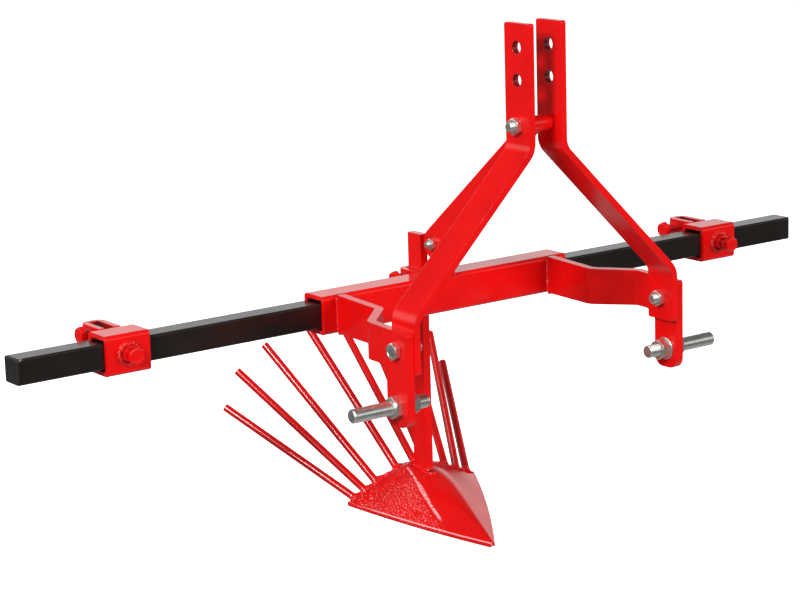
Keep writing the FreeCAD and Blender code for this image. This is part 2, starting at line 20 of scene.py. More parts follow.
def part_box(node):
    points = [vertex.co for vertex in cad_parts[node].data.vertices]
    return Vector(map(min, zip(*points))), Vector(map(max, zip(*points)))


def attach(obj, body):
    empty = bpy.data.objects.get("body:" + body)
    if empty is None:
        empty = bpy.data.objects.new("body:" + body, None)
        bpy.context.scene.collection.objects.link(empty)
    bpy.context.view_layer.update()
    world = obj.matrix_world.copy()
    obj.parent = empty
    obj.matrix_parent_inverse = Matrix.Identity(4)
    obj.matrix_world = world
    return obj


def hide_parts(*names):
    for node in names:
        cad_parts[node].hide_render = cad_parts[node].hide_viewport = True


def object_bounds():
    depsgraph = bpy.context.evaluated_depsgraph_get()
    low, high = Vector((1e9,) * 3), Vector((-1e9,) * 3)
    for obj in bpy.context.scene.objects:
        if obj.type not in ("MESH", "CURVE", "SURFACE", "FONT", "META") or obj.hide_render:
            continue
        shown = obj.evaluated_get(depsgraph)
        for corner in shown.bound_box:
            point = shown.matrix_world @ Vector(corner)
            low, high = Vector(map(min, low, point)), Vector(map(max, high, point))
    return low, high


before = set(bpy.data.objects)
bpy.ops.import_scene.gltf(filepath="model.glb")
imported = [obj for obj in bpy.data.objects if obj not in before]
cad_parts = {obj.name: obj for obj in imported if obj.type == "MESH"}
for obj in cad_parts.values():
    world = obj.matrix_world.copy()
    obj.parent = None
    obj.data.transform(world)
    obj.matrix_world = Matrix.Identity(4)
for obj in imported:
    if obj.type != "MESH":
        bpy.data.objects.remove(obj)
cad_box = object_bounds()
MM = 0.001

# %% [markdown]
# ## Places read from the CAD
#
# A bead or a nut has to sit exactly where the plates meet. Typed-in places would drift apart from
# the CAD at its first change, so each place is read from the boxes of the CAD nodes: a box holds
# the lowest and highest corner of a node in the frame.

# %% Corners and middles of the CAD nodes
def low(node, axis):
    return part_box(node)[0]["xyz".index(axis)]


def high(node, axis):
    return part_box(node)[1]["xyz".index(axis)]


def middle(node, axis):
    return (low(node, axis) + high(node, axis)) / 2


BAR_Y = middle("toolbar", "y")
BAR_Z = middle("toolbar", "z")
TUBE_FRONT = low("sleeve", "y")
TUBE_BOTTOM = low("sleeve", "z")
TUBE_TOP = high("sleeve", "z")
print("toolbar axis at y %.3f z %.3f" % (BAR_Y, BAR_Z))

# %% [markdown]
# ## Shader maths that reads like maths
#
# A finish is a small node tree. Dragging noodles is quick by hand, but in a script a sum of masks
# turns into a page of calls. A `Wire` wraps one output socket and overloads the operators, so
# `1 - mask * 0.4` adds its own Math nodes. A `Workbench` wraps a whole node tree, and its single
# `node` method makes every other node: its settings first, then its sockets. A `Finish` is the
# workbench of one material.

# %% A wire that can be added and multiplied
class Wire:
    """One output of a node tree."""

    def __init__(self, bench, socket):
        self.bench = bench
        self.socket = socket

    def maths(self, operation, first, second):
        return self.bench.node("ShaderNodeMath", {"operation": operation}, {0: first, 1: second})

    def __add__(self, other):
        return self.maths("ADD", self, other)

    def __radd__(self, other):
        return self.maths("ADD", other, self)

    def __sub__(self, other):
        return self.maths("SUBTRACT", self, other)

    def __rsub__(self, other):
        return self.maths("SUBTRACT", other, self)

    def __mul__(self, other):
        return self.maths("MULTIPLY", self, other)

    def __rmul__(self, other):
        return self.maths("MULTIPLY", other, self)


print("a wire can be added, subtracted and multiplied")

# %% A node tree and what is added to it
class Workbench:
    """The node tree of a material or of the surroundings."""

    def __init__(self, tree):
        self.tree = tree

    def plug(self, socket, value):
        """Link a wire to a socket, or set a plain value on it."""
        if isinstance(value, Wire):
            self.tree.links.new(value.socket, socket)
        else:
            socket.default_value = value

    def node(self, kind, settings, inputs, output=0):
        made = self.tree.nodes.new(kind)
        for name, value in settings.items():
            setattr(made, name, value)
        for name, value in inputs.items():
            self.plug(made.inputs[name], value)
        return Wire(self, made.outputs[output])

    def mask(self, value, start, end):
        """A smooth step from 0 at start to 1 at end."""
        return self.node("ShaderNodeMapRange", {"interpolation_type": "SMOOTHSTEP"},
                         {"Value": value, "From Min": start, "From Max": end})

    def part(self, vector, axis):
        """One coordinate of a vector."""
        return self.node("ShaderNodeSeparateXYZ", {}, {"Vector": vector}, axis)


print("workbench ready")

# %% A finish
EDGE_SAMPLES = 6


class Finish(Workbench):
    """A procedural material built round one Principled shader."""

    def __init__(self, name, **constants):
        self.material = bpy.data.materials.new(name)
        self.material.use_nodes = True
        super().__init__(self.material.node_tree)
        self.shader = self.tree.nodes["Principled BSDF"]
        for socket, value in constants.items():
            self.shader.inputs[socket.replace("_", " ")].default_value = value

    def feed(self, socket, value):
        self.plug(self.shader.inputs[socket], value)

    def place(self):
        """Where a point of the surface is, in metres, in the piece's own frame."""
        return self.node("ShaderNodeTexCoord", {}, {}, "Object")

    def noise(self, grain, detail=2.0, roughness=0.5):
        """Cloudy noise from 0 to 1 whose patches are about one grain across, in metres."""
        inputs = {"Vector": self.place(), "Scale": 1 / grain, "Detail": detail,
                  "Roughness": roughness}
        return self.node("ShaderNodeTexNoise", {}, inputs)

    def blend(self, factor, first, second):
        """Mix two colours by a mask."""
        settings = {"data_type": "RGBA"}
        return self.node("ShaderNodeMix", settings, {0: factor, 6: first, 7: second}, 2)

    def rounded(self, radius):
        """Normals of a surface whose sharp edges are eased by a small radius."""
        return self.node("ShaderNodeBevel", {"samples": EDGE_SAMPLES}, {"Radius": radius})

    def relief(self, height, depth, edge):
        """Feed the shader's normal with a bump over eased edges; depth is in metres."""
        normal = self.rounded(edge)
        bump = self.node("ShaderNodeBump", {}, {"Height": height, "Distance": depth,
                                                "Strength": 1.0, "Normal": normal})
        self.feed("Normal", bump)


print("edges are eased with", EDGE_SAMPLES, "samples")

# %% [markdown]
# ## Red powder coat
#
# Powder is sprayed on dry and baked, so it flows into a thick glossy skin with a faint orange
# peel. It draws back from sharp edges, which is why the edges look a little rounder and lighter.
# A flat red would look like plastic: here the gloss comes from the shader's own reflection, slow
# clouds vary the colour by a tenth, and the peel is a bump of a few hundredths of a millimetre.
# A bevel node eases the edges without touching the CAD mesh. Slots, bores and crevices are
# darkened toward a near-black red as painted shade: an ambient occlusion node finds them.
# Three reds share one function: the plates, the rods, whose deeper red is painted shade, and
# the rough welds, whose pale spots on the peaks are painted glints.

# %% Red powder coat
EDGE_EASE = 1.4 * MM        # radius of the eased edges
CLOUD = 60 * MM             # size of the slow clouds
DEEPER = 0.88               # deeper red in the clouds, as a part of the brighter one
GLINT_SPOT = 2.2 * MM        # size of the painted glints on rough welds
SHADE_REACH = 30 * MM        # a wall nearer than this darkens the red as painted shade
# pale pink of the painted highlights: glints on welds and pebbles, highlight lines on the share
PAINTED_HIGHLIGHT = (0.90, 0.42, 0.44, 1)
# near-black red painted into recesses as painted shade
CREVICE_SHADE = (0.040, 0.012, 0.009, 1)
PLATE_PEEL = {"grain": 2.6 * MM, "depth": 0.025 * MM}
WELD_PEEL = {"grain": 3.4 * MM, "depth": 0.7 * MM}


def reds(finish, glow):
    """Slow clouds between a red and a deeper red; glow is the brighter one's red part."""
    clouds = finish.mask(finish.noise(CLOUD, 3.0), 0.35, 0.75)
    return finish.blend(clouds, (glow, 0.0042, 0.0042, 1), (DEEPER * glow, 0.0034, 0.0034, 1))


def red_paint(name, peel, glow, glint=0):
    """Red paint, painted dark in recesses as painted shade; glint is how strong the painted glints
    on its peaks are, from 0 to 1.
    """
    finish = Finish(name, IOR=1.5)
    powder = reds(finish, glow)
    if glint:
        # pale spots on the peaks are painted glints
        glint_spots = finish.mask(finish.noise(GLINT_SPOT), 0.60, 0.72) * glint
        powder = finish.blend(glint_spots, powder, PAINTED_HIGHLIGHT)
    openness = finish.node("ShaderNodeAmbientOcclusion", {"samples": 8, "only_local": True},
                           {"Distance": SHADE_REACH}, "AO")
    # recesses that the ambient occlusion node finds are painted dark, as painted shade
    finish.feed("Base Color", finish.blend(finish.mask(openness, 0.85, 0.50), powder, CREVICE_SHADE))
    finish.feed("Roughness", 0.10 + finish.noise(25 * MM) * 0.10)
    finish.relief(finish.noise(peel["grain"]), peel["depth"], EDGE_EASE)
    return finish


red = red_paint("red_powder_coat", PLATE_PEEL, glow=0.74)
# the rods' deeper red is painted shade
shaded_rod_red = red_paint("shaded_red_rod_paint", PLATE_PEEL, glow=0.56)
# the rough welds carry painted glints
weld_red = red_paint("red_weld_paint", WELD_PEEL, glow=0.66, glint=0.7)
print("made", red.material.name, shaded_rod_red.material.name, weld_red.material.name)

# %% [markdown]
# ## Red paint on the share
#
# The share is pressed from hot plate, and scale and weld spatter stay under its paint, so its left
# wing is pebbled while the fold and the right wing stay smooth. Between them runs a low step. A
# pale line painted along its crest, one just inside the cutting edge and pale flecks on the pebbles
# are painted highlights, and the share's red is painted a little darker as painted shade. One more
# bump would do, but it would pebble everything. Masks from the place on the share keep the grains
# to the wing and draw the step, the highlights and the edge, and a Voronoi texture gives separate
# grains where a noise would give waves.

# %% Step and painted highlight along the fold
FOLD = {"front": 204 * MM, "rear": 319 * MM, "outer": -48 * MM, "sweep": 18 * MM}
FOLD_RUN = FOLD["rear"] - FOLD["front"]
FOLD_STARTS, FOLD_STOPS = (200 * MM, 216 * MM), (330 * MM, 318 * MM)
STEP_HALF = 4.5 * MM        # half the width of the step


def beside_fold(across, run):
    """How far a point lies to the right of the fold, whose line bends inward at the rear."""
    return across - (run * run * FOLD["sweep"] + FOLD["outer"])


def fold_step(finish, beside, run, along):
    """The step down at the fold, and the pale painted highlight along its crest."""
    reach = finish.mask(along, *FOLD_STARTS) * finish.mask(along, *FOLD_STOPS)
    step = finish.mask(beside, STEP_HALF, -STEP_HALF) * reach * (1.0 + run * run * 0.8)
    crest = finish.mask(beside, -3.5 * MM, -0.5 * MM) * finish.mask(beside, 2.5 * MM, 0.5 * MM)
    crest_highlight = crest * reach * finish.mask(finish.noise(5 * MM, 3.0), 0.28, 0.62)
    return step, crest_highlight


print("fold from y %.3f to %.3f" % (FOLD["front"], FOLD["rear"]))

# %% Painted highlight along the left cutting edge
BLADE = {"rear": high("share", "y"), "length": 221 * MM, "half": 133 * MM, "taper": 129 * MM,
         "bow": 28 * MM, "middle": middle("share", "x")}
EDGE_HIGHLIGHT_INNER, EDGE_HIGHLIGHT_OUTER = (2.8 * MM, 1.6 * MM), (0.3 * MM, 1.0 * MM)


def edge_highlight(finish, across, along):
    """A thin pale painted highlight just inside the bowed edge, fading out at the rear corner."""
    ahead = (BLADE["rear"] - along) * (1 / BLADE["length"])
    half = BLADE["half"] + ahead * (BLADE["bow"] - BLADE["taper"] - ahead * BLADE["bow"])
    inside = across - BLADE["middle"] + half
    line = finish.mask(inside, *EDGE_HIGHLIGHT_INNER) * finish.mask(inside, *EDGE_HIGHLIGHT_OUTER)
    return line * finish.mask(ahead, 0.05, 0.30) * 0.9


print("cutting edge from y %.3f" % BLADE["rear"])

# %% Pebbled paint of the share
PEBBLE = 3.8 * MM           # size of one pebble
SHARE_RELIEF = 1.4 * MM     # height of the step
SHARE_EASE = 2.2 * MM
GLINT_CROWD_BACK, GLINT_CROWD_LEFT = (275 * MM, 325 * MM), (-70 * MM, -105 * MM)


def share_paint():
    """Paint with pebbles on the left wing, whose painted glints crowd toward its rear corner."""
    finish = Finish("red_share_paint", IOR=1.5)
    across = finish.part(finish.place(), "X")
    along = finish.part(finish.place(), "Y")
    run = (along - FOLD["front"]) * (1 / FOLD_RUN)
    beside = beside_fold(across, run)
    step, crest_highlight = fold_step(finish, beside, run, along)
    wing = finish.mask(beside, -1 * MM, -8 * MM)
    patches = finish.mask(finish.noise(45 * MM), 0.36, 0.62)
    grains = finish.node("ShaderNodeTexVoronoi", {"feature": "SMOOTH_F1"},
                         {"Vector": finish.place(), "Scale": 1 / PEBBLE, "Smoothness": 0.5})
    pebbles = (1 - grains) * wing * (0.45 + patches * 0.55)
    glint_crowd = finish.mask(along, *GLINT_CROWD_BACK) * finish.mask(across, *GLINT_CROWD_LEFT)
    # pale flecks on the pebbles are painted glints
    pebble_glints = finish.mask(1 - grains, 0.70, 0.90) * wing * (0.10 + patches * 0.40 + glint_crowd * 0.45)
    # the crest line, the pebble glints and the cutting-edge line are all painted highlights
    pale = crest_highlight + pebble_glints + edge_highlight(finish, across, along)
    # the share's red is painted darker as painted shade, and the pale marks blended in are painted
    # highlights
    finish.feed("Base Color", finish.blend(pale, reds(finish, 0.62), PAINTED_HIGHLIGHT))
    finish.feed("Roughness", 0.16 + wing * 0.08)
    peel = finish.noise(2.5 * MM) * 0.03
    finish.relief((pebbles * 0.6 + peel) - step, SHARE_RELIEF, SHARE_EASE)
    return finish


share_red = share_paint()
print("made", share_red.material.name)

# %% [markdown]
# ## Black bar
#
# The toolbar has thin satin black paint, slightly brown, drawn over rolled steel. Near its left
# end is a small punch mark, whose dark inside is painted shade, and the paint is scuffed off the
# corner. Both could be cut into a mesh, but the bar keeps its CAD mesh, so a mask from the
# distance to a point places each of them.

# %% Satin black paint
SCUFF = (low("toolbar", "x") + 2 * MM, low("toolbar", "y"), high("toolbar", "z"))
PUNCH = (low("toolbar", "x") + 7 * MM, low("toolbar", "y"), BAR_Z + 1 * MM)
BARE_STEEL = (0.45, 0.40, 0.36, 1)
PUNCH_PAINTED_SHADE = (0.0004, 0.0003, 0.0003, 1)
PUNCH_DEPTH = 2 * MM


def near(finish, point, inner, outer):
    """A mask that is 1 within inner of a point and 0 beyond outer."""
    gap = finish.node("ShaderNodeVectorMath", {"operation": "DISTANCE"},
                      {0: finish.place(), 1: point}, "Value")
    return finish.mask(gap, outer, inner)


black = Finish("satin_black_paint", IOR=1.5, Specular_Tint=(1.0, 0.93, 0.90, 1))
scuff = near(black, SCUFF, 1.5 * MM, 5 * MM) * black.mask(black.noise(2 * MM), 0.45, 0.55)
punch = near(black, PUNCH, 1.8 * MM, 2.8 * MM)
soot = black.mask(black.noise(40 * MM, 4.0), 0.35, 0.7)
paint = black.blend(soot, (0.0120, 0.0092, 0.0082, 1), (0.0085, 0.0068, 0.0062, 1))
# the punch mark's dark inside is painted shade
paint = black.blend(punch, paint, PUNCH_PAINTED_SHADE)
black.feed("Base Color", black.blend(scuff * 0.8, paint, BARE_STEEL))
black.feed("Roughness", 0.20 + black.noise(12 * MM, 3.0) * 0.08)
black.relief(black.noise(4 * MM) * 0.01 - punch, PUNCH_DEPTH, 1.2 * MM)
print("made", black.material.name)

# %% [markdown]
# ## Zinc
#
# The pins and bolts are zinc plated and passivated: bright, but with a cloudy grey-green film. A
# plain grey metal would look like chrome, so a slow noise moves the colour and another one the
# roughness.

# %% Zinc plate
zinc = Finish("zinc_plate", Metallic=0.96, IOR=1.6)
film = zinc.mask(zinc.noise(9 * MM, 4.0, 0.6), 0.3, 0.75)
zinc.feed("Base Color", zinc.blend(film, (0.84, 0.86, 0.81, 1), (0.66, 0.68, 0.63, 1)))
zinc.feed("Roughness", 0.26 + zinc.noise(6 * MM, 3.0) * 0.12)
zinc.relief(zinc.noise(3 * MM), 0.02 * MM, 0.5 * MM)
print("made", zinc.material.name)

# %% [markdown]
# ## Black plastic
#
# The end caps are moulded from black plastic, whose skin has a fine grain and is duller than
# paint. The grain is a bump under a millimetre wide, and dust makes the black uneven.

# %% Black plastic
plastic = Finish("black_plastic", IOR=1.46)
dust = plastic.mask(plastic.noise(15 * MM, 3.0), 0.4, 0.8)
plastic.feed("Base Color", plastic.blend(dust, (0.008, 0.008, 0.007, 1), (0.016, 0.015, 0.014, 1)))
plastic.feed("Roughness", 0.40 + plastic.noise(5 * MM) * 0.15)
plastic.relief(plastic.noise(0.8 * MM), 0.04 * MM, 0.8 * MM)
print("made", plastic.material.name)

# %% [markdown]
# ## Finishes on the CAD plates
#
# The plates, tubes and rods already have the right shape, so they keep their meshes and only get
# a finish. Most of them are red. The toolbar, its caps, the share and the rods are the exceptions,
# and a small table of exceptions is easier to read than forty assignments. The fasteners' nodes
# are replaced by the pieces that follow.

# %% Paint the CAD nodes
FINISH_OF = {"toolbar": black, "bar_cap_left": plastic, "bar_cap_right": plastic,
             "share": share_red}
FINISH_OF.update({name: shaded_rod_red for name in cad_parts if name.startswith("rod_")})

for name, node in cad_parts.items():
    finish = FINISH_OF.get(name, red)
    for slot in node.material_slots:
        slot.material = finish.material
print("painted", len(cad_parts), "CAD nodes")

# %% [markdown]
# ## Meshes from rings
#
# Bolts, nuts, pins and weld beads are all one form: a row of closed rings with a skin over them.
# A modifier stack could make each of them, but one helper for rings makes them all, and it keeps
# control over every chamfer. A `Casting` gathers rings into one mesh, places it by a matrix and
# hands it over as a piece that rides on a CAD body.

# %% Rings and where they stand
AROUND = 48
ANGLES = [2 * math.pi * i / AROUND for i in range(AROUND)]


def circle(height, radius):
    return [Vector((radius * math.cos(a), radius * math.sin(a), height)) for a in ANGLES]


def facing(x, y, z, direction):
    """Matrix that stands a ring's axis along a level direction, with a corner of it upward."""
    along = Vector(direction)
    up = Vector((0, 0, 1))
    side = along.cross(up)
    turn = Matrix((up, side, along)).transposed().to_4x4()
    return Matrix.Translation((x, y, z)) @ turn


print("rings have", AROUND, "points")

# %% Skins and pieces
CREASE = 35                 # degrees; a fold sharper than this stays sharp
WELD_CREASE = 80            # a weld is soft all over


class Casting:
    """Vertices and faces of one piece, gathered skin by skin."""

    def __init__(self):
        self.mesh = bmesh.new()

    def skin(self, rings, place=Matrix.Identity(4), closed=False):
        rows = [[self.mesh.verts.new(place @ point) for point in ring] for ring in rings]
        pairs = list(zip(rows, rows[1:]))
        if closed:
            pairs.append((rows[-1], rows[0]))
        for first, second in pairs:
            for i in range(len(first)):
                j = (i + 1) % len(first)
                self.mesh.faces.new((first[i], first[j], second[j], second[i]))
        if not closed:
            self.mesh.faces.new(rows[0][::-1])
            self.mesh.faces.new(rows[-1])
        return self

    def piece(self, name, finish, body, slot, crease=CREASE):
        """Turn the gathered faces into an object with its finish, riding on a body."""
        bmesh.ops.recalc_face_normals(self.mesh, faces=self.mesh.faces)
        for face in self.mesh.faces:
            face.smooth = True
        data = bpy.data.meshes.new(name)
        self.mesh.to_mesh(data)
        self.mesh.free()
        data.set_sharp_from_angle(angle=math.radians(crease))
        data.materials.append(finish.material)
        made = bpy.data.objects.new(name, data)
        bpy.context.scene.collection.objects.link(made)
        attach(made, body)
        return made


print("edges sharper than", CREASE, "degrees stay sharp")

# %% [markdown]
# ## Hexagons with real chamfers
#
# A bolt head is turned before its flats are seen: a cone cuts the six corners, and where it meets
# the flats it leaves the curved line that makes a nut look like a nut. A bevel modifier can't give
# that curve. Here each point of the top edge is lowered by as much as the cone has fallen at its
# distance from the axis.

# %% Hexagon rings
RIM = 0.95          # radius of the flat top, as a part of half the width across flats
CONE = math.tan(math.radians(30))
HEAD = {"lift": 0.05, "dish": 0.06, "lip": 0.80, "floor": 0.74}     # parts of height and rim
SINK = {"wide": 1.12, "deep": 0.08}     # countersink, as parts of the bore and the height


def hex_radius(angle, flats):
    return flats / 2 / math.cos(angle % (math.pi / 3) - math.pi / 6)


def hex_ring(height, flats, cut=0):
    """Ring of a hexagon; cut is 1 where a cone trims it from above, and -1 from below."""
    ring = []
    for a in ANGLES:
        radius = hex_radius(a, flats)
        fall = cut * max(0, radius - RIM * flats / 2) * CONE
        ring.append(Vector((radius * math.cos(a), radius * math.sin(a), height - fall)))
    return ring


def head_rings(flats, height):
    """Bolt head from its seat at 0 up to its height, with a shallow dish on top."""
    rim = RIM * flats / 2
    lift, dish = HEAD["lift"] * height, HEAD["dish"] * height
    return [circle(0, rim), circle(lift, rim), hex_ring(lift, flats), hex_ring(height, flats, 1),
            circle(height, rim), circle(height, HEAD["lip"] * rim),
            circle(height - dish, HEAD["floor"] * rim)]


def nut_rings(flats, height, bore):
    """Nut from 0 to its height, chamfered at both ends, with a countersunk thread."""
    rim, mouth = RIM * flats / 2, SINK["wide"] * bore
    sink = SINK["deep"] * height
    return [circle(sink, bore), circle(0, mouth), circle(0, rim), hex_ring(0, flats, -1),
            hex_ring(height, flats, 1), circle(height, rim), circle(height, mouth),
            circle(height - sink, bore)]


print("hexagon heads are dished by %.0f%% of their height" % (100 * HEAD["dish"]))

# %% [markdown]
# ## Threads
#
# A thread is a ridge that climbs one pitch each turn. Stacked rings would look like a file, so the
# radius depends on both the height and the angle: that makes a true helix that catches the light
# in slanted lines. The end is turned to a small cone, as on every real bolt.

# %% Helical thread
STEPS_PER_PITCH = 8
FLANK = 2.5                 # steepness of the flanks, in depths per pitch
TIP = 1.3                   # where the end's cone begins, in depths under the crest


def thread_rings(radius, pitch, start, end, depth):
    """Rings of a threaded rod between two heights, with a cone at its far end."""
    count = max(2, round(STEPS_PER_PITCH * (end - start) / pitch))
    rings = []
    for k in range(count + 1):
        height = start + (end - start) * k / count
        cone = radius - TIP * depth + (end - height)
        ring = []
        for a in ANGLES:
            phase = (height / pitch - a / (2 * math.pi)) % 1
            groove = min(1, max(0, FLANK * (0.5 - abs(phase - 0.5))))
            r = min(radius - depth * groove, cone)
            ring.append(Vector((r * math.cos(a), r * math.sin(a), height)))
        rings.append(ring)
    return rings


print("thread steps per pitch:", STEPS_PER_PITCH)

# %% [markdown]
# ## Through bolts
#
# M16 bolts hold the straps to the hitch plates and to each other at the top, and an M10 bolt
# holds the brace. Each CAD node is a plain hexagonal solid with the right size and place, so the
# detailed bolt is built on its box: its length along x gives the grip, and its middle the axis.

# %% Bolts with a head, a nut and a threaded end
M16 = {"radius": 8 * MM, "flats": 24 * MM, "head": 10 * MM, "nut": 11 * MM, "over": 8 * MM,
       "pitch": 2 * MM}
M10 = {"radius": 5 * MM, "flats": 17 * MM, "head": 6.4 * MM, "nut": 8.4 * MM, "over": 7 * MM,
       "pitch": 1.5 * MM}
THREAD_DEPTH = 0.5      # as a part of the pitch


def through_bolt(node, size, toward):
    """Bolt along x, with its threaded end toward -1 or 1."""
    head_end = low(node, "x") if toward > 0 else high(node, "x")
    length = high(node, "x") - low(node, "x") - size["head"]
    seat = facing(head_end + toward * size["head"], middle(node, "y"), middle(node, "z"),
                  (toward, 0, 0))
    nut_seat = length - size["over"] - size["nut"]
    bolt = Casting()
    bolt.skin(head_rings(size["flats"], size["head"]), seat @ Matrix.Rotation(math.pi, 4, "X"))
    bolt.skin([circle(0, size["radius"]), circle(nut_seat, size["radius"])], seat)
    depth = THREAD_DEPTH * size["pitch"]
    bolt.skin(thread_rings(size["radius"], size["pitch"], nut_seat, length, depth), seat)
    bolt.skin(nut_rings(size["flats"], size["nut"], size["radius"]),
              seat @ Matrix.Translation((0, 0, nut_seat)))
    made = bolt.piece(node + "_zinc", zinc, "frame", "zinc_plate")
    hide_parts(node)


through_bolt("strap_bolt_left", M16, 1)
through_bolt("strap_bolt_right", M16, -1)
through_bolt("cross_bolt", M16, -1)
through_bolt("brace_bolt", M10, -1)
print("through bolts made")

# %% [markdown]
# ## Set bolts
#
# A set bolt is threaded up to its head and presses a bar from the side. The clamps are painted as
# one with their bolts, so these threads are filled with paint and shallower. The same rings do,
# with less depth and the red finish.

# %% Painted set bolts
PAINTED_DEPTH = 0.32    # thread depth left open by the paint, as a part of the pitch


def set_bolt(node, body, direction):
    """Fully threaded bolt whose tip points along a level direction."""
    axis = "x" if direction[0] else "y"
    sign = direction[0] + direction[1]
    ends = (low(node, axis), high(node, axis))
    seat_at = ends[0] + M16["head"] if sign > 0 else ends[1] - M16["head"]
    centre = {name: middle(node, name) for name in "xyz"}
    centre[axis] = seat_at
    seat = facing(centre["x"], centre["y"], centre["z"], direction)
    length = ends[1] - ends[0] - M16["head"]
    bolt = Casting()
    bolt.skin(head_rings(M16["flats"], M16["head"]), seat @ Matrix.Rotation(math.pi, 4, "X"))
    bolt.skin(thread_rings(M16["radius"], M16["pitch"], 0, length,
                           PAINTED_DEPTH * M16["pitch"]), seat)
    made = bolt.piece(node + "_painted", red, body, "red_paint")
    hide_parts(node)


set_bolt("shank_set_bolt", "frame", (1, 0, 0))
for side in ("left", "right"):
    body = "clamp_" + side
    set_bolt("clamp_bolt_" + side, body, (0, 1, 0))
    set_bolt("socket_bolt_" + side, body, (1, 0, 0))
print("set bolts made")

# %% [markdown]
# ## Welded nuts on the clamps
#
# The clamp's bolt runs in a nut that is welded on before painting. It is the same chamfered
# hexagon as on the other bolts, but its ends are softened by paint, so it shares their rings.

# %% Clamp nuts
def clamp_nut(side):
    node = "clamp_nut_" + side
    seat = facing(middle(node, "x"), high(node, "y"), middle(node, "z"), (0, -1, 0))
    height = high(node, "y") - low(node, "y")
    nut = Casting()
    nut.skin(nut_rings(M16["flats"], height, M16["radius"]), seat)
    made = nut.piece(node + "_painted", red, "clamp_" + side, "red_paint")
    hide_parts(node)


for side in ("left", "right"):
    clamp_nut(side)
print("clamp nuts made")

# %% [markdown]
# ## Lower hitch pins
#
# Each pin is turned from one bar: a long smooth pin with a cone at its end and a cross hole for
# a linch pin, a hexagonal collar that seats on the plate, and a threaded stud with a nut and a
# washer inside. The turned form is one skin of rings. The cross hole is cut by a Boolean modifier,
# because a round hole across a round bar is a saddle curve that rings can't follow.

# %% Cross hole
PIN = {"radius": 11 * MM, "chamfer": 2 * MM, "flats": 31 * MM, "collar": 13 * MM,
       "stud": 10.5 * MM, "pitch": 2 * MM, "hole": 4 * MM, "hole_inset": 20 * MM}
HOLE_SIDES = 32


def cut_cross_hole(piece, x, radius):
    """Cut an upright hole through a piece that lies along x."""
    cutter = bpy.data.meshes.new("cross_hole")
    shape = bmesh.new()
    bmesh.ops.create_cone(shape, cap_ends=True, segments=HOLE_SIDES, radius1=radius,
                          radius2=radius, depth=6 * radius,
                          matrix=Matrix.Translation((x, 0, 0)))
    shape.to_mesh(cutter)
    shape.free()
    tool = bpy.data.objects.new("cross_hole", cutter)
    bpy.context.scene.collection.objects.link(tool)
    hole = piece.modifiers.new("cross_hole", "BOOLEAN")
    hole.operation = "DIFFERENCE"
    hole.solver = "EXACT"
    hole.object = tool
    depsgraph = bpy.context.evaluated_depsgraph_get()
    piece.data = bpy.data.meshes.new_from_object(piece.evaluated_get(depsgraph))
    piece.modifiers.clear()
    bpy.data.objects.remove(tool)


print("cross hole of %.0f mm in a pin of %.0f mm" % (2000 * PIN["hole"], 2000 * PIN["radius"]))

# %% Pin, collar and stud
def hitch_pin(side, toward):
    """Pin whose stud points toward -1 or 1 along x."""
    node = "hitch_pin_" + side
    outer = low(node, "x") if toward > 0 else high(node, "x")
    length = high(node, "x") - low(node, "x")
    plate = abs(outer) - high("hitch_arm_right", "x")
    rim = RIM * PIN["flats"] / 2
    collar = plate - PIN["collar"]
    stud = plate + high("hitch_arm_right", "x") - abs(high("hitch_nut_right", "x"))
    rings = [circle(0, PIN["radius"] - PIN["chamfer"]), circle(PIN["chamfer"], PIN["radius"]),
             circle(collar, PIN["radius"]), circle(collar, rim),
             hex_ring(collar, PIN["flats"], -1), hex_ring(plate, PIN["flats"]),
             circle(plate, PIN["stud"])]
    rings += thread_rings(PIN["stud"], PIN["pitch"], stud, length, THREAD_DEPTH * PIN["pitch"])
    pin = Casting().skin(rings, facing(outer, 0, 0, (toward, 0, 0)))
    made = pin.piece(node + "_turned", zinc, "frame", "zinc_plate")
    cut_cross_hole(made, outer + toward * PIN["hole_inset"], PIN["hole"])
    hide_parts(node)


hitch_pin("left", 1)
hitch_pin("right", -1)
print("hitch pins made")

# %% Nut and washer on the stud
PIN_NUT_FLATS = 30 * MM
WASHER = {"radius": 18.5 * MM, "thickness": 3 * MM, "ease": 0.6 * MM}


def hitch_nut(side, toward):
    """Nut and washer whose outer end points toward -1 or 1 along x."""
    node = "hitch_nut_" + side
    seat_at = low(node, "x") if toward > 0 else high(node, "x")
    seat = facing(seat_at, 0, 0, (toward, 0, 0))
    total = high(node, "x") - low(node, "x")
    radius, thick, ease = WASHER["radius"], WASHER["thickness"], WASHER["ease"]
    nut = Casting()
    nut.skin([circle(0, radius - ease), circle(ease, radius), circle(thick - ease, radius),
              circle(thick, radius - ease), circle(thick, PIN["stud"])], seat)
    nut.skin(nut_rings(PIN_NUT_FLATS, total - thick, PIN["stud"]),
             seat @ Matrix.Translation((0, 0, thick)))
    made = nut.piece(node + "_zinc", zinc, "frame", "zinc_plate")
    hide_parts(node)


hitch_nut("left", 1)
hitch_nut("right", -1)
print("hitch nuts made")

# %% [markdown]
# ## Weld beads
#
# A welder lays a puddle, moves on a few millimetres and lays the next, so a bead is a row of
# overlapping scales. A plain tube in the corner would look like a gasket. The bead here is a skin
# of rings along a path: its radius swells with every scale, the swelling lags at the sides so that
# the scales bow, and slow waves make the bead a little uneven, always in the same way.

# %% Spots along a path
SCALE = 3.2 * MM            # length of one scale of a bead
BEAD_STEP = SCALE / 6


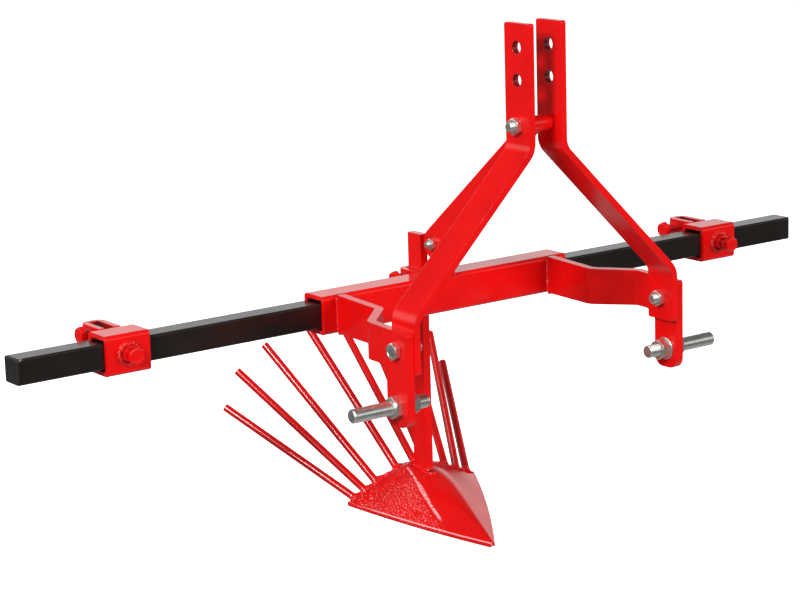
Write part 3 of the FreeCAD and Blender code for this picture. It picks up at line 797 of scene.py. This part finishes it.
def along_path(points, closed):
    """Evenly spaced points along straight runs, with the length travelled."""
    corners = [Vector(p) for p in points]
    if closed:
        corners.append(corners[0])
    total = sum((b - a).length for a, b in zip(corners, corners[1:]))
    count = max(6, round(total / BEAD_STEP))
    spots = []
    run, travelled = 0, 0
    for k in range(count + (0 if closed else 1)):
        want = total * k / count
        step = corners[run + 1] - corners[run]
        while run < len(corners) - 2 and travelled + step.length < want:
            travelled += step.length
            run += 1
            step = corners[run + 1] - corners[run]
        spots.append((corners[run] + step * ((want - travelled) / step.length), want))
    return spots, total


print("beads have scales of", SCALE, "m")

# %% Scales and slow waves of a bead
SCALE_SWELL = 0.10          # swelling of a scale, as a part of the bead's radius
SCALE_BOW = 1.3             # lag of the swelling at the sides, in radians
WAVE_LENGTHS = (9, 30)      # shortest and longest slow wave, in millimetres
WAVE_SWELL = 0.05           # swelling of a slow wave, as a part of the radius
WHOLE_WAVE = 6.28           # phase of one whole wave, in radians
SKEW = Vector((0.31, 0.52, 0.79))       # a direction that no bead runs along
BEAD_SIDES = 14


def bead_rings(points, radius, closed, seed):
    """Rings of one bead, swollen by its scales and by three slow waves."""
    spots, total = along_path(points, closed)
    chance = random.Random(seed)
    waves = [(chance.uniform(*WAVE_LENGTHS) * MM, chance.uniform(0, WHOLE_WAVE)) for k in range(3)]
    rings = []
    for k, (spot, want) in enumerate(spots):
        after = spots[(k + 1) % len(spots)][0] if closed else spots[min(k + 1, len(spots) - 1)][0]
        before = spots[k - 1][0] if closed else spots[max(k - 1, 0)][0]
        along = (after - before).normalized()
        across = along.cross(SKEW).normalized()
        over = along.cross(across)
        slow = sum(math.sin(WHOLE_WAVE * want / w + p) for w, p in waves)
        size = radius * (1 + WAVE_SWELL * slow)
        if not closed:
            from_end = min(want, total - want) / (1.2 * radius)
            size *= math.sqrt(max(0.02, 1 - max(0, 1 - from_end) ** 2))
        ring = []
        for i in range(BEAD_SIDES):
            a = 2 * math.pi * i / BEAD_SIDES
            scale = SCALE_SWELL * math.cos(WHOLE_WAVE * want / SCALE - SCALE_BOW * math.cos(2 * a))
            reach = size * (1 + scale)
            ring.append(spot + across * (reach * math.cos(a)) + over * (reach * math.sin(a)))
        rings.append(ring)
    return rings


def weld(name, runs, radius, body, closed=False, finish=red):
    """One piece made of several beads, each along its own run of points."""
    bead = Casting()
    for seed, points in enumerate(runs):
        bead.skin(bead_rings(points, radius, closed, seed), closed=closed)
    bead.piece(name, finish, body, "red_paint", crease=WELD_CREASE)


print("a bead has", BEAD_SIDES, "sides")

# %% [markdown]
# ## Where the welds run
#
# Every red part is welded to its neighbour along the line where their faces meet. Those lines are
# read from the boxes: arms on the sleeve, sockets on the tubes, the lug of the brace, and a ring
# round each clamp's nut.

# %% Welds of the arms and sockets
ARM_THICKNESS = 14 * MM
BEAD = 3.6 * MM             # radius of the common bead
ARM_BEAD = 3.0 * MM
RUN_INSET = 1.5 * MM        # a bead stops this far from a plate's corner


def upright_run(x, y, bottom, top):
    return [(x, y, bottom + RUN_INSET), (x, y, top - RUN_INSET)]


def arm_welds(side, sign):
    inner = sign * abs(low("hitch_arm_right", "x"))
    outer = inner + sign * ARM_THICKNESS
    runs = [upright_run(x, TUBE_FRONT, TUBE_BOTTOM, TUBE_TOP) for x in (inner, outer)]
    runs.append([(inner, TUBE_FRONT, TUBE_BOTTOM), (outer, TUBE_FRONT, TUBE_BOTTOM)])
    weld("arm_weld_" + side, runs, ARM_BEAD, "frame")


def socket_welds(socket, body):
    bottom, top = low(socket, "z"), high(socket, "z")
    runs = [upright_run(x, low(socket, "y"), bottom, top)
            for x in (low(socket, "x"), high(socket, "x"))]
    weld(socket + "_weld", runs, BEAD, body)


arm_welds("left", -1)
arm_welds("right", 1)
socket_welds("shank_socket", "frame")
socket_welds("clamp_socket_left", "clamp_left")
socket_welds("clamp_socket_right", "clamp_right")
print("arm and socket welds made")

# %% Ring welds of the clamp nuts
NUT_BEAD = 4.3 * MM


def nut_weld(side):
    node = "clamp_nut_" + side
    radius = (high(node, "z") - low(node, "z")) / 2 + 0.4 * NUT_BEAD
    loop = [(middle(node, "x") + radius * math.cos(a), high(node, "y"),
             middle(node, "z") + radius * math.sin(a)) for a in ANGLES]
    weld("clamp_nut_weld_" + side, [loop], NUT_BEAD, "clamp_" + side, closed=True,
         finish=weld_red)


nut_weld("left")
nut_weld("right")
print("nut welds made")

# %% Welds of the brace and its lug
BRACE_BEAD = 2.8 * MM
ARC_STEP = 8                # degrees; ten steps of it to each side make the arc


def lug_welds():
    front, back = low("brace_lug", "y"), high("brace_lug", "y")
    runs = [[(x, front, TUBE_TOP), (x, back, TUBE_TOP)]
            for x in (low("brace_lug", "x"), high("brace_lug", "x"))]
    weld("brace_lug_weld", runs, BEAD, "frame")


def brace_weld():
    """Arcs round the mast spacer, on both faces of the brace."""
    radius = high("mast_spacer", "y")
    height = middle("mast_spacer", "z")
    slant = math.atan2(middle("brace_bolt", "z") - height, middle("brace_bolt", "y"))
    arc = [slant + math.radians(ARC_STEP * k) for k in range(-10, 11)]
    runs = [[(x, radius * math.cos(a), height + radius * math.sin(a)) for a in arc]
            for x in (low("brace", "x"), high("brace", "x"))]
    weld("brace_weld", runs, BRACE_BEAD, "frame")


lug_welds()
brace_weld()
print("brace welds made")

# %% [markdown]
# ## Weld at the shank's foot
#
# The shank stands on a curved share, so the line where they meet climbs and falls. Working it out
# on paper is slow; dropping points onto the share is quick. A ray is cast down from above each
# point round the shank, and the bead follows where the rays land. In front the welder laid three
# short beads over each other, which makes the lump at the shank's toe.

# %% Drop points onto the share
def drop(x, y):
    """The point of the share's upper face under a place."""
    start = Vector((x, y, high("shank", "z")))
    hit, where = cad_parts["share"].ray_cast(start, Vector((0, 0, -1)))[:2]
    return where if hit else Vector((x, y, low("share", "z")))


print("share under the shank at z %.3f" % drop(middle("shank", "x"), middle("shank", "y")).z)

# %% Beads round the foot and at the toe
FOOT_BEAD = 2.4 * MM
TOE_BEAD = 4.0 * MM
TOE_RUNS = ((0, 0), (0, 5 * MM), (6 * MM, 0))       # ahead of the foot, above the share
SIDE_STEPS = 12             # points on each side of the shank


def foot_weld():
    left, right = low("shank", "x"), high("shank", "x")
    front, back = low("shank", "y"), high("shank", "y")
    corners = [(left, front), (right, front), (right, back), (left, back)]
    steps = [k / SIDE_STEPS for k in range(SIDE_STEPS)]
    loop = [drop(x + (next_x - x) * t, y + (next_y - y) * t)
            for (x, y), (next_x, next_y) in zip(corners, corners[1:] + corners[:1])
            for t in steps]
    weld("shank_foot_weld", [loop], FOOT_BEAD, "digger", closed=True)


def toe_weld():
    """Three short beads laid over each other in front of the foot."""
    front = low("shank", "y")
    ends = (low("shank", "x") - 1 * MM, high("shank", "x") + 2 * MM)
    runs = []
    for ahead, rise in TOE_RUNS:
        runs.append([drop(x, front - ahead) + Vector((0, 0, rise)) for x in ends])
    weld("shank_toe_weld", runs, TOE_BEAD, "digger", finish=weld_red)


foot_weld()
toe_weld()
print("shank foot weld made")

# %% [markdown]
# ## Flared welds at the rods' roots
#
# Each sifting rod is welded into the rear edge of the share, and the weld spreads sideways into
# the plate, so the edge between two rods looks scalloped. A ring bead would miss that sideways
# spread. Here each flare is a skin of oval rings: as round as the rod behind, and wide and flat
# where it runs into the edge. A thin web of weld fills the gap between neighbours, deepest beside
# the rods and toward the outer one, as the puddle pulls into a corner.

# %% Where each rod starts and points
ROD_RADIUS = 6.5 * MM
ROOT_DEPTH = 0.1 * MM       # the root's ring is level with the share's rear face
END_DEPTH = 8 * MM          # the end's ring is slanted, so it is deeper


def rod_axis(node):
    """Root and direction of a rod, from its mesh: the middle of its two ends."""
    points = [v.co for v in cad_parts[node].data.vertices]
    front, back = low(node, "y"), high(node, "y")
    root = [p for p in points if p.y < front + ROOT_DEPTH]
    ends = [p for p in points if p.y > back - END_DEPTH]
    first = sum(root, Vector()) / len(root)
    last = sum(ends, Vector()) / len(ends)
    return first, (last - first).normalized()


print("centre rod starts at", [round(v, 4) for v in rod_axis("rod_centre")[0]])

# %% Flares between the rods and the share
FLARE = {"length": 14 * MM, "spread": 11 * MM, "rise": 7.4 * MM, "sunk": 3 * MM, "fade": 2.2,
         "lump": 0.035, "rings": 26}


def flare(node, seed):
    """Rings of the weld at one rod's root, with a few uneven lumps."""
    root, along = rod_axis(node)
    chance = random.Random(seed)
    level = Vector((1, 0, 0))
    level = (level - along * level.dot(along)).normalized()
    upward = level.cross(along).normalized()
    waves = [(chance.randint(2, 7), chance.uniform(0, WHOLE_WAVE)) for k in range(4)]
    rings = []
    for k in range(FLARE["rings"]):
        t = k / (FLARE["rings"] - 1)
        spot = root + along * (FLARE["length"] * t - FLARE["sunk"])
        fade = (1 - t) ** FLARE["fade"]
        wide = ROD_RADIUS + (FLARE["spread"] - ROD_RADIUS) * fade
        tall = ROD_RADIUS + (FLARE["rise"] - ROD_RADIUS) * fade
        ring = []
        for a in ANGLES:
            uneven = sum(math.sin(n * a + p + 5 * t) for n, p in waves)
            lump = 1 + FLARE["lump"] * fade * uneven
            reach = level * (wide * lump * math.cos(a)) + upward * (tall * lump * math.sin(a))
            ring.append(spot + reach * (1 - 0.02 * t))
        rings.append(ring)
    return rings


def rod_flares():
    flares = Casting()
    rods = sorted(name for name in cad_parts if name.startswith("rod_"))
    for seed, node in enumerate(rods):
        flares.skin(flare(node, seed))
    flares.piece("rod_root_welds", weld_red, "digger", "red_paint", crease=WELD_CREASE)


rod_flares()
print("rod flares made")

# %% Webs between neighbouring rods
WEB = {"thick": 3.6 * MM, "inner": 2.5 * MM, "outer": 10 * MM, "fillet": 8 * MM,
       "sunk": 2 * MM, "rings": 40}


def web(inner, outer):
    """Flat bridge of weld between two neighbouring rods, deeper toward the outer one."""
    (root, along), (far_root, far_along) = rod_axis(inner), rod_axis(outer)
    edge = (far_root - root).normalized()
    rings = []
    for k in range(WEB["rings"]):
        u = k / (WEB["rings"] - 1)
        spot = root.lerp(far_root, u)
        out = along.lerp(far_along, u).normalized()
        over = edge.cross(out).normalized()
        depth = WEB["inner"] + (WEB["outer"] - WEB["inner"]) * u
        depth += WEB["fillet"] * abs(2 * u - 1) ** 5
        depth *= 1 + 0.06 * math.sin(19 * u) + 0.04 * math.sin(41 * u)
        thick = WEB["thick"] * (1 + 0.08 * math.sin(27 * u))
        rings.append([spot + out * (math.cos(a) * (depth if math.cos(a) > 0 else WEB["sunk"]))
                      + over * (thick * math.sin(a)) for a in ANGLES])
    return rings


def rod_webs():
    webs = Casting()
    for side in ("left", "right"):
        row = ["rod_centre"] + ["rod_%s_%d" % (side, number) for number in range(1, 5)]
        for inner, outer in zip(row, row[1:]):
            webs.skin(web(inner, outer))
    webs.piece("rod_root_webs", weld_red, "digger", "red_paint", crease=WELD_CREASE)


rod_webs()
print("rod webs made")

# %% [markdown]
# ## Floor
#
# A product like this is shown on a white sweep. The machine hangs on its hitch, so a large plain
# plane lies just under the tip of the share at the shank's lowest setting. That is enough, because
# the lens never sees its far edge against the white surroundings.

# %% Pale floor
FLOOR_DROP = 52 * MM        # the shank can be set 50 mm lower
FLOOR_REACH = 12            # from its middle to an edge


def pale_floor():
    finish = Finish("pale_floor", Roughness=0.9, Specular_IOR_Level=0.1, Emission_Strength=0.9,
                    Emission_Color=(1, 1, 1, 1))
    dust = finish.noise(400 * MM)
    finish.feed("Base Color", finish.blend(dust, (0.93, 0.93, 0.93, 1), (0.95, 0.95, 0.95, 1)))
    data = bpy.data.meshes.new("floor")
    shape = bmesh.new()
    bmesh.ops.create_grid(shape, x_segments=1, y_segments=1, size=FLOOR_REACH)
    bmesh.ops.translate(shape, verts=shape.verts, vec=(0, 0, cad_box[0].z - FLOOR_DROP))
    shape.to_mesh(data)
    shape.free()
    data.materials.append(finish.material)
    floor = bpy.data.objects.new("floor", data)
    bpy.context.scene.collection.objects.link(floor)
    floor.visible_glossy = False
    floor.visible_diffuse = False


pale_floor()
print("floor laid")

# %% [markdown]
# ## Camera
#
# The digger is seen from the tractor's side, from the left and a little above, through a long
# lens, so that its lines stay nearly parallel. A camera looks along its own -Z axis. Its matrix is
# built from where it stands, where it looks and a small tilt, because aiming it by three Euler
# angles hides what it looks at.

# %% Camera
LENS = 108.8                # in millimetres, on a sensor 36 mm wide
CAMERA_PLACE = Vector((-2.3067, -2.8496, 0.9546))
AZIMUTH, ELEVATION, ROLL = (math.radians(v) for v in (-35.609, 12.736, -1.694))

ahead = Vector((-math.sin(AZIMUTH) * math.cos(ELEVATION),
                math.cos(AZIMUTH) * math.cos(ELEVATION), -math.sin(ELEVATION)))
level = Vector((math.cos(AZIMUTH), math.sin(AZIMUTH), 0))
upright = level.cross(ahead)
right = level * math.cos(ROLL) + upright * math.sin(ROLL)
over = upright * math.cos(ROLL) - level * math.sin(ROLL)

lens = bpy.data.cameras.new("camera")
lens.lens = LENS
lens.sensor_width = 36
camera = bpy.data.objects.new("camera", lens)
camera.matrix_world = (Matrix.Translation(CAMERA_PLACE)
                       @ Matrix((right, over, -ahead)).transposed().to_4x4())
bpy.context.scene.collection.objects.link(camera)
bpy.context.scene.camera = camera
print("camera at", tuple(round(v, 3) for v in CAMERA_PLACE))

# %% [markdown]
# ## Light
#
# Gloss is only as good as what it mirrors. Upright faces are seen a little from above, so they
# mirror what lies low in front of them; level faces mirror a low strip behind them. A bright strip
# just above the horizon therefore gives level faces their pale sheen, and dim surroundings above
# and below it keep the red deep. A weak glow from far below stands for light thrown back by the
# sweep. The floor itself takes no part in reflections, so that it can't wash out the red.

# %% Surroundings
STRIP = {"foot": (-0.02, 0.18), "top": (0.28, 0.50), "glow": 1.0}
BELOW = {"reach": (-0.35, -0.80), "glow": 0.30}
DIM = 0.10                  # glow of everything else


def surroundings():
    world = bpy.data.worlds.new("studio")
    world.use_nodes = True
    bpy.context.scene.world = world
    sky = Workbench(world.node_tree)
    height = sky.part(sky.node("ShaderNodeTexCoord", {}, {}, "Generated"), "Z")
    strip = sky.mask(height, *STRIP["foot"]) * (1 - sky.mask(height, *STRIP["top"]))
    seen = sky.node("ShaderNodeLightPath", {}, {}, "Is Camera Ray")
    bounce = sky.mask(height, *BELOW["reach"])
    lit = DIM + strip * STRIP["glow"] + bounce * BELOW["glow"]
    shade = sky.tree.nodes["Background"]
    sky.plug(shade.inputs["Color"], (1, 1, 1, 1))
    sky.plug(shade.inputs["Strength"], lit + seen * (1 - lit))


surroundings()
print("surroundings made")

# %% [markdown]
# ## Lamps
#
# One large key lamp stands to the left and above: it lights the left faces and puts small glints on
# every nut, rod and weld. A small rim lamp over the back brightens the top edges. A front fill
# lights the plates that face the tractor, and a weak far fill keeps the right and the back readable
# when the machine is turned. A fill isn't mirrored, so it adds light without a second glint.

# %% Lamps
CENTRE = (cad_box[0] + cad_box[1]) / 2


def soft_light(name, direction, distance, size, power):
    """Square lamp that faces the machine from a direction."""
    data = bpy.data.lights.new(name, "AREA")
    data.size = size
    data.energy = power
    made = bpy.data.objects.new(name, data)
    toward = Vector(direction).normalized()
    made.location = CENTRE + toward * distance
    made.rotation_mode = "QUATERNION"
    made.rotation_quaternion = (-toward).to_track_quat("-Z", "Y")
    bpy.context.scene.collection.objects.link(made)
    return made


soft_light("key", (-0.82, -0.30, 0.48), 8.0, 2.0, 560)
soft_light("rim", (-0.42, 0.27, 0.86), 6.0, 1.3, 45)
front_fill = soft_light("front_fill", (0.25, -0.95, 0.15), 8.0, 2.0, 400)
far_fill = soft_light("far_fill", (0.95, 0.30, 0.45), 8.0, 2.0, 70)
for fill in (front_fill, far_fill):
    fill.visible_glossy = False
bpy.context.scene.view_settings.view_transform = "Standard"
print("lamps set")
